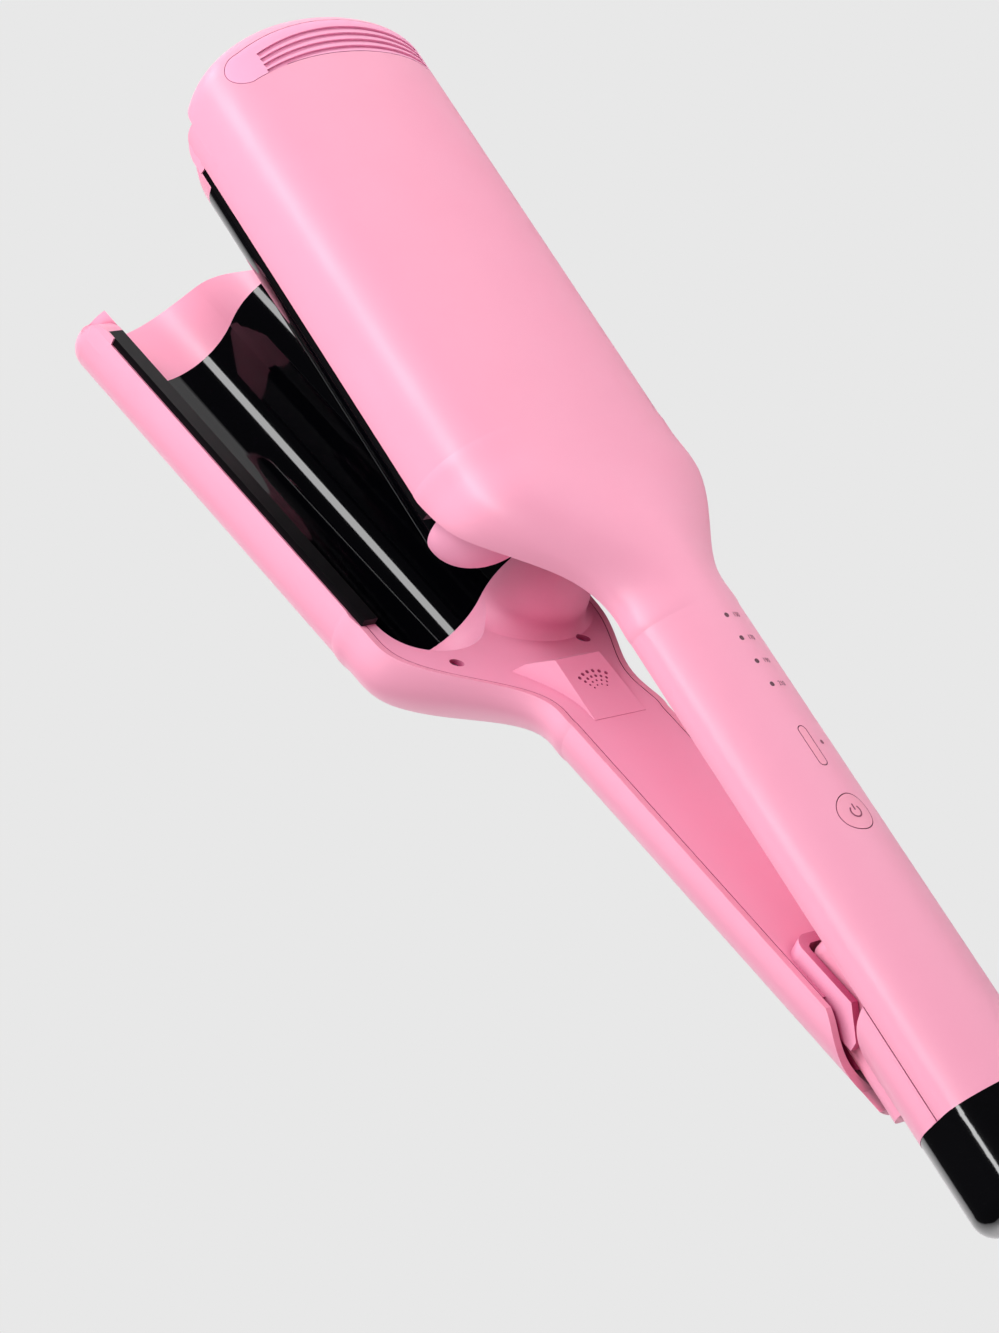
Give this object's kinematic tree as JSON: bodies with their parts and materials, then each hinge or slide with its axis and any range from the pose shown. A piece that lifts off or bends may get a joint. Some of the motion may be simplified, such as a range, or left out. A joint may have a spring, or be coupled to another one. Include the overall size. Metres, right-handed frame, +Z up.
{
  "type": "hair waver",
  "caption": "Handheld hair waver with two hinged arms whose wide jaws carry matching S-shaped hot plates, spring-opened, with push buttons and a swivel cord inlet.",
  "frame": {"origin": "centre of the bounding box's bottom face, with the waver lying on its side, open", "axes": "+X from the tail to the tips, +Y from the arm with the buttons to the other arm, +Z up along the hinge pin"},
  "size_m": [0.327, 0.1054, 0.0745],
  "materials": {
    "pink_case": "satin soft-touch moulding",
    "pink_cover": "satin moulding",
    "pink_button": "satin moulding",
    "coated_plate": "gloss black heat-proof coating on pressed aluminium",
    "black_seal": "matt heat-resistant moulding",
    "inner_frame": "glass-filled moulding",
    "heater_metal": "extruded",
    "sensor": "dipped bead",
    "fuse_metal": "drawn can",
    "screw_steel": "zinc plated",
    "spring_steel": "music wire",
    "bush_brass": "turned",
    "board_green": "laminate",
    "switch_black": "moulding",
    "lens_clear": "clear moulding",
    "led_white": "moulding",
    "gloss_black": "gloss moulding"
  },
  "bodies": {
    "main_arm": {"upper_shell": "pink_case", "upper_tip_pad": "pink_case", "upper_inner_cover": "pink_cover", "upper_plate": "coated_plate", "upper_edge_strips": "black_seal", "upper_plate_carrier": "inner_frame", "upper_heater": "heater_metal", "upper_thermistor": "sensor", "upper_thermal_fuse": "fuse_metal", "upper_cover_screws": "screw_steel", "tail_housing": "pink_case", "tail_screws": "screw_steel", "hinge_pin": "screw_steel", "end_cap": "gloss_black", "indicator_lenses": "lens_clear", "control_board": "board_green", "board_screws": "screw_steel", "button_switches": "switch_black", "indicator_leds": "led_white", "opening_spring": "spring_steel"},
    "lower_arm": {"lower_shell": "pink_case", "lower_inner_cover": "pink_cover", "lower_plate": "coated_plate", "lower_edge_strips": "black_seal", "lower_plate_carrier": "inner_frame", "lower_heater": "heater_metal", "lower_thermistor": "sensor", "lower_thermal_fuse": "fuse_metal", "lower_cover_screws": "screw_steel", "lower_hinge_bracket": "pink_cover", "bracket_screws": "screw_steel", "hinge_bushes": "bush_brass", "ion_generator": "switch_black"},
    "power_button": {"power_button": "pink_button"},
    "mode_button": {"mode_button": "pink_button"},
    "cord_swivel": {"cord_swivel": "gloss_black"}
  },
  "joints": [
    {"name": "jaw_hinge", "type": "hinge", "parent": "main_arm", "child": "lower_arm", "pos_m": [-0.1174, -0.03103, 0.03725], "axis": [0, 0, 1], "range_deg": [-11.4, 0], "stiffness_Nm_per_rad": 0.5, "springref_deg": 20.05, "deforming": ["opening_spring"]},
    {"name": "power_press", "type": "slide", "parent": "main_arm", "child": "power_button", "axis": [0, 1, 0], "range_m": [0, 0.0006], "stiffness_N_per_m": 900, "springref_m": -0.0005},
    {"name": "mode_press", "type": "slide", "parent": "main_arm", "child": "mode_button", "axis": [0, 1, 0], "range_m": [0, 0.0006], "stiffness_N_per_m": 900, "springref_m": -0.0005},
    {"name": "cord_turn", "type": "hinge", "parent": "main_arm", "child": "cord_swivel", "pos_m": [-0.1635, -0.03683, 0.03725], "axis": [1, 0, 0], "continuous": true}
  ]
}
